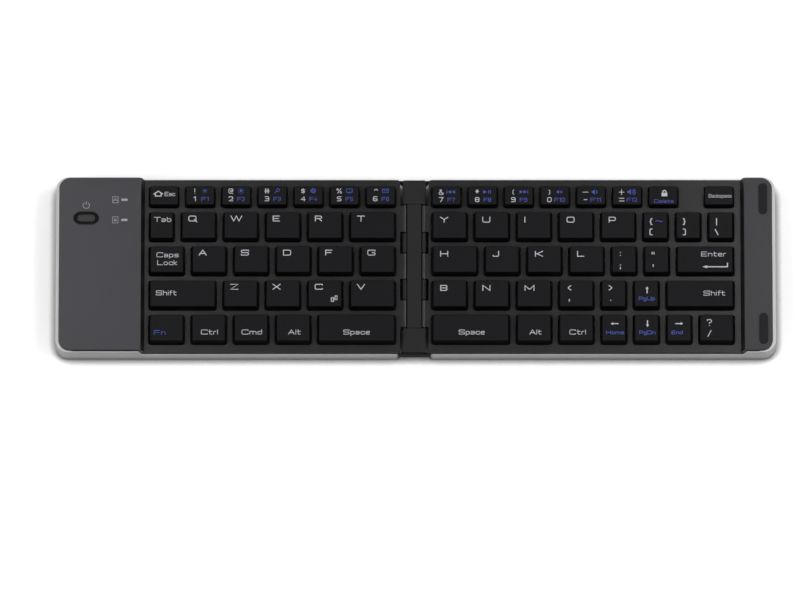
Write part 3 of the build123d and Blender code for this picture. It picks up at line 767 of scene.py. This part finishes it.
word_y = -1.95  # words on the bottom row
legends = {
    "esc": [(white, moved(pictures["house"], -2.35, 0.6)), (white, word("Esc", 2.35, 0.5, 1.8, 4.2, 0.22))],
    "1": number_key("1", "!", 1, "dim"),
    "2": number_key("2", "@", 2, "bright"),
    "3": number_key("3", "#", 3, "search"),
    "4": number_key("4", "$", 4, "globe"),
    "5": number_key("5", "%", 5, "screen"),
    "6": number_key("6", "^", 6, "mail"),
    "7": number_key("7", "&", 7, "previous"),
    "8": number_key("8", "*", 8, "play"),
    "9": number_key("9", "(", 9, "next"),
    "0": number_key("0", ")", 10, "mute"),
    "minus": number_key("-", "_", 11, "quieter"),
    "equals": number_key("=", "+", 12, "louder"),
    "lock": [
        (white, moved(pictures["padlock"], 0.5, 0.75)),
        (blue, word("Delete", 0.3, -2.6, 1.5, 7.8, 0.2)),
    ],
    "backspace": [(white, word("Backspace", 0.5, -0.3, 1.5, 9.2, 0.14))],
    "tab": [(white, word("Tab", 0.3, 2.45, 2.1, 7.0))],
    "caps": [(white, word("Caps", 0.3, 1.9, 2.1, 8.9)), (white, word("Lock", 0.15, -1.5, 2.1, 8.0))],
    "left_shift": [(white, word("Shift", -6.6, 0.2, 2.1, 8.3))],
    "fn": [(blue, word("Fn", -2.7, -2.1, 2.0, 4.7))],
    "left_ctrl": [(white, word("Ctrl", 0.3, word_y, 2.1, 6.8))],
    "cmd": [(white, word("Cmd", 0.35, word_y, 2.1, 8.2))],
    "left_alt": [(white, word("Alt", 0.5, word_y, 2.1, 5.0))],
    "left_space": [(white, word("Space", 0.0, word_y, 2.1, 10.7))],
    "right_space": [(white, word("Space", 0.35, word_y, 2.1, 10.4))],
    "right_alt": [(white, word("Alt", 0.5, word_y, 2.1, 4.8))],
    "right_ctrl": [(white, word("Ctrl", 0.5, word_y, 2.1, 6.6))],
    "open_bracket": pair_key("{", "[", -1.85, 1.5, -3.0, 2.9, 2.9)
    + [(blue, word("~", 1.5, 1.7, 2.0, 3.0, 0.3))],
    "close_bracket": pair_key("}", "]", -1.55, 1.5, -3.0, 2.9, 2.9),
    "backslash": pair_key("|", "\\", -1.7, 1.4, -3.0, 3.2, 2.6),
    "semicolon": pair_key(":", ";", -1.45, 2.3, -2.9, 2.2, 2.4),
    "quote": pair_key('"', "'", -1.4, 1.9, -3.5, 2.6, 2.6),
    "enter": [(white, word("Enter", 3.45, 2.25, 2.1, 10.0)), (white, moved(pictures["return"], 4.0, -3.3))],
    "comma": pair_key("<", ",", -2.8, 2.4, -2.0, 2.2, 2.4),
    "full_stop": pair_key(">", ".", -1.2, 2.4, -2.0, 2.2, 2.4),
    "up": [(white, moved(pictures["up"], 0.3, 1.5)), (blue, word("PgUp", 0.2, -2.2, 1.6, 6.5, 0.26))],
    "down": [(white, moved(pictures["down"], 0.4, 1.7)), (blue, word("PgDn", 0.3, -2.1, 1.6, 6.5, 0.26))],
    "left": [(white, moved(pictures["left"], 0.3, 1.7)), (blue, word("Home", 0.5, -2.1, 1.6, 7.2, 0.26))],
    "right": [(white, moved(pictures["right"], 0.0, 1.7)), (blue, word("End", -0.8, -2.1, 1.6, 4.6, 0.26))],
    "right_shift": [(white, word("Shift", 5.7, 0.1, 2.1, 8.7))],
    "question": pair_key("?", "/", -2.9, 2.2, -2.6, 2.8, 2.8, 0.32),
}


def letter_legend(name):
    """A capital near the rear left corner of its key."""
    node, low, high = keys[name]
    left = (low.x - high.x) / 2 + key_slope + letter_inset[half_of(node)]
    back = (high.y - low.y) / 2 - key_slope - letter_drop[half_of(node)]
    scale = (letter_height - letter_stroke) / capital_units
    x = left + (character_width(name) * scale + letter_stroke) / 2
    return [(white, word(name, x, back - letter_height / 2, letter_height, None, letter_stroke))]


for name in keys:
    if len(name) == 1 and name.isalpha():
        legends[name] = letter_legend(name)
legends["C"].append((white, moved(pictures["pairing"], 3.7, -2.3)))

inked = {}
for name, (node, low, high) in keys.items():
    middle = (low + high) / 2
    for ink, shapes in legends[name]:
        inked.setdefault((node, ink), []).append(moved(shapes, middle.x, middle.y))
for (node, ink), drawn in inked.items():
    plates(node + "_" + ink + "_print", drawn, key_top - print_low, key_top + print_high, inks[ink], node)


# ---- Control panel: marks, and the dark ring round the power button: painted shade on the floor of its recess, with a dark rim round it ----
def pill_outline(x, y, length, width, count=12):
    """A slot's outline along X."""
    r = width / 2
    reach = length / 2 - r
    return circle(r, x + reach, y, -90.0, 90.0, count) + circle(r, x - reach, y, 90.0, 270.0, count)


cover_top = box_mm("control_panel_cover")[1].z
button_low, button_high = box_mm("power_button")
button_x = (button_low.x + button_high.x) / 2
button_y = (button_low.y + button_high.y) / 2
button_length = 7.1
button_width = 3.0
ring_length = 10.1
ring_width = 5.3
ring_depth = 0.4
ring_gap = 0.15  # button to the dark ring, over its whole width
ring_height = 0.05  # dark ring, painted shade in the recess, above the recess's floor
ring_clearance = 0.05  # dark ring to the recess's wall, over its whole width
ring_overlap = 0.02  # keeps the rim's inner edge inside the recess
rim_width = 0.3  # dark rim outside the recess, over its whole width


def band(inner_grow, outer_grow, low, high):
    """A flat band round the button between two slot outlines, each grown by so much: (points, faces)."""
    inner = pill_outline(button_x, button_y, button_length + inner_grow, button_width + inner_grow)
    outer = pill_outline(button_x, button_y, ring_length + outer_grow, ring_width + outer_grow)
    count = len(outer)
    points = [(x, y, z) for z in (high, low) for line in (outer, inner) for x, y in line]
    faces = []
    for i in range(count):
        k = (i + 1) % count
        top = (i, k, k + count, i + count)
        outside = (i, i + 2 * count, k + 2 * count, k)
        inside = (i + count, k + count, k + 3 * count, i + 3 * count)
        faces += [top[::-1], tuple(c + 2 * count for c in top), outside[::-1], inside[::-1]]
    return points, faces


ring_floor = cover_top - ring_depth
ring_reach = ring_length - button_length - ring_overlap
# The first band is a dark sheet on the recess floor, painted shade in the recess; the second is a dark rim
# over the recess's edge and round it on the cover.
rings = gather([
    band(ring_gap, -ring_clearance, ring_floor - print_low, ring_floor + ring_height),
    band(ring_reach, rim_width, cover_top - print_low, cover_top + print_high),
])
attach(piece("power_button_ring_and_recess_shade", *rings, dark_ring_and_recess_shade), "left_half")

power_mark = ribbon(circle(1.3, 0.0, 0.0, 125.0, 415.0, 18), 0.3) + ribbon([(0.0, 0.4), (0.0, 1.7)], 0.3)
power_drop = 5.5  # mark behind the button
lamp_mark_offset = 3.65  # mark to the left of its lamp
mark_frame = ribbon(oblong(2.2, 2.7), 0.26, True)
lamp_marks = (word("A", 0.0, 0.0, 1.6, None, 0.24), padlock(0.45))
marks = [moved(power_mark, button_x, button_y + power_drop)]
for (low, high), drawn in zip(solids("indicator_light_pipes"), lamp_marks):
    middle = (low + high) / 2
    marks.append(moved(mark_frame + drawn, middle.x - lamp_mark_offset, middle.y))
plates("control_panel_marks", marks, cover_top - print_low, cover_top + print_high, inks[grey], "left_half")


# ---- Rubber dome and scissor under each key ----
membrane_top = box_mm("left_membrane")[1].z
dome_top = box_mm("left_rubber_domes")[1].z
dome_radius, dome_crown, dome_wall, dome_flange = 1.75, 1.0, 0.35, 0.3
dome_bevel = 0.15
dome_vent = 0.05  # radius of the hole in the crown
dome_shoulder, dome_neck = 0.35, 0.75  # heights, as shares of the dome's own
link_radius = 0.3


def dome(x, y):
    """A hollow rubber dome that stands on the membrane: (points, faces)."""
    height = dome_top - membrane_top
    shoulder, neck = height * dome_shoulder, height * dome_neck
    profile = [(dome_radius, 0.0), (dome_radius, dome_flange), (dome_radius - dome_wall, shoulder)]
    profile += [(dome_crown, neck), (dome_crown, height - dome_bevel), (dome_crown - dome_bevel, height)]
    profile += [(dome_vent, height), (dome_vent, neck - dome_wall)]
    profile += [(dome_crown - dome_wall, neck - dome_wall)]
    profile += [(dome_radius - 2 * dome_wall, shoulder), (dome_radius - 2 * dome_wall, 0.0)]
    return lathe([(r, membrane_top + z) for r, z in profile], x, y)


def scissor(low, high, side):
    """A frame of round bars that leans across its box, from the front bottom to the rear top or back."""
    r = link_radius
    bottom, top = low.z + r, high.z - r
    front, rear = (bottom, top) if side else (top, bottom)
    path = [(low.x + r, low.y + r, front), (high.x - r, low.y + r, front)]
    path += [(high.x - r, high.y - r, rear), (low.x + r, high.y - r, rear)]
    return tube_loop(path, r)


def under(node, boxes):
    """Those of the boxes whose middle lies under a key of the node."""
    inside = [(low, high) for n, low, high in keys.values() if n == node]
    return [
        (a, b) for a, b in boxes
        if any(
            low.x < (a.x + b.x) / 2 < high.x and low.y < (a.y + b.y) / 2 < high.y for low, high in inside
        )
    ]


def flatten(made):
    """Gives a piece that stands on the membrane a mesh of its own."""
    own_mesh(made)


for half in ("left_half", "right_half"):
    side = half.split("_")[0]
    domes = solids(side + "_rubber_domes")
    links = solids(side + "_scissor_links")
    for i, node in enumerate(n for n in banks if half_of(n) == half):
        stack = gather([dome((a.x + b.x) / 2, (a.y + b.y) / 2) for a, b in under(node, domes)])
        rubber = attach(piece(node + "_dome", *stack, finishes["dome_rubber"], True), half)
        wide = sorted(under(node, links), key=lambda b: b[0].x - b[1].x)
        pairs = gather([scissor(a, b, k < len(wide) // 2) for k, (a, b) in enumerate(wide)])
        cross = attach(piece(node + "_scissor", *pairs, finishes["scissor_plastic"], True), half)
        flatten(rubber)
        flatten(cross)
        if i == 0:
            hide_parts(side + "_rubber_domes")
            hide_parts(side + "_scissor_links")


# ---- Ribbon between the halves ----
ribbon_low, ribbon_high = box_mm("flex_cable")
bend_steps = 36
tracks = 9
track_height = 0.03


def flex(side):
    """One half of the ribbon, in short steps along X, with raised tracks."""
    far = ribbon_low.x if side < 0 else ribbon_high.x
    points, faces = [], []
    rows = tracks * 2 + 1
    for i in range(bend_steps + 1):
        x = spine_x + (far - spine_x) * i / bend_steps
        for k in range(rows + 1):
            y = ribbon_low.y + (ribbon_high.y - ribbon_low.y) * k / rows
            points.append((x, y, ribbon_high.z - (0.0 if k % 2 else track_height)))
            points.append((x, y, ribbon_low.z))
    across = 2 * (rows + 1)
    for i in range(bend_steps):
        a, b = i * across, (i + 1) * across
        for k in range(rows):
            c = 2 * k
            faces.append((a + c, b + c, b + c + 2, a + c + 2))
            faces.append((a + c + 1, a + c + 3, b + c + 3, b + c + 1))
        faces.append((a, a + 1, b + 1, b))
        e = 2 * rows
        faces.append((a + e, b + e, b + e + 1, a + e + 1))
    for a, way in ((0, 1), (bend_steps * across, -1)):
        for k in range(rows):
            c = a + 2 * k
            faces.append((c, c + 2, c + 3, c + 1)[::way])
    if side < 0:
        faces = [face[::-1] for face in faces]
    return points, faces


for side, body in ((-1, "left_half"), (1, "right_half")):
    name = body.replace("half", "flex_ribbon")
    made = piece(name, *flex(side), finishes["flex_film"])
    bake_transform(made)
    if side < 0:
        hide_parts("flex_cable")


# ---- Floor, light and camera ----
floor_reach = 6000.0
floor_steps = 4


def floor_finish():
    """Matt white with a painted contact shadow close to whatever stands on it, most of all behind it."""
    made = grained("floor_finish", (0.98, 0.98, 0.98), 0.9, specular=0.05, grain=2.0, mottle=0.01)
    lean = (0.0, -0.22, 0.975)
    # Painted shadow: the floor darkens where something stands close, and the leaned sky puts more of it
    # behind.
    return by_nearness(made, reach=4.6, start=0.9, end=0.6, other=(0.34, 0.34, 0.34), lean=lean)


def floor():
    """A wide flat floor of a few large squares."""
    across = floor_steps + 1
    spots = [floor_reach * (i / floor_steps - 0.5) for i in range(across)]
    points = [(x, y, 0.0) for x in spots for y in spots]
    corners = [i * across + k for i in range(floor_steps) for k in range(floor_steps)]
    return piece("floor", points, [(c, c + across, c + across + 1, c + 1) for c in corners], floor_finish())


floor()


def softbox(name, place, target, size, power):
    """A rectangular lamp that faces its target."""
    data = bpy.data.lights.new(name, "AREA")
    data.shape = "RECTANGLE"
    data.size, data.size_y = size
    data.energy = power
    made = bpy.data.objects.new(name, data)
    made.location = place
    made.rotation_euler = (Vector(target) - Vector(place)).to_track_quat("-Z", "Y").to_euler()
    bpy.context.scene.collection.objects.link(made)


middle_of_part = (0, 0, 0)
softbox("left_box", place=(-1.1, -0.2, 0.8), target=middle_of_part, size=(0.9, 1.2), power=12.0)
softbox("right_box", place=(1.1, -0.2, 0.8), target=middle_of_part, size=(0.9, 1.2), power=13.0)
softbox("front_box", place=(0.0, -1.2, 0.7), target=middle_of_part, size=(1.6, 0.6), power=6.0)
softbox("left_card", place=(-0.2, 0.14, 0.36), target=(-0.15, 0, 0), size=(0.09, 0.09), power=0.19)
softbox("right_card", place=(0.22, 0.14, 0.36), target=(0.16, 0, 0), size=(0.09, 0.09), power=0.3)


def white_sky():
    """A white sky that is dim overhead, so that level faces stay dark."""
    world = bpy.data.worlds.new("studio")
    world.use_nodes = True
    bpy.context.scene.world = world
    nodes, links = world.node_tree.nodes, world.node_tree.links
    sky = nodes["Background"]
    sky.inputs["Color"].default_value = (1.0, 1.0, 1.0, 1.0)
    height = coordinate(nodes, links, "Generated", "Z")
    links.new(run(nodes, links, height, start=0.35, end=0.8, low=1.0, high=0.06), sky.inputs["Strength"])


white_sky()

image_width = 802
scale = 2482.0  # pixels for each metre in the plane of the deck
distance = 8.0  # far away, so the lens is long and lines stay parallel
tilt = math.radians(22.0)  # from straight down
key_rise = 2.5  # key tops above the deck
aim = Vector((-5.9, -13.6, key_top - key_rise)) * mm  # what the middle of the picture shows
eye = bpy.data.cameras.new("camera")
eye.sensor_width = 36.0
eye.lens = scale * distance * eye.sensor_width / image_width
eye.clip_start = 0.01
camera = bpy.data.objects.new("camera", eye)
camera.location = aim + distance * Vector((0.0, -math.sin(tilt), math.cos(tilt)))
camera.rotation_euler = (tilt, 0.0, 0.0)
bpy.context.scene.collection.objects.link(camera)
bpy.context.scene.camera = camera
bpy.context.scene.view_settings.view_transform = "Standard"

bpy.context.view_layer.update()
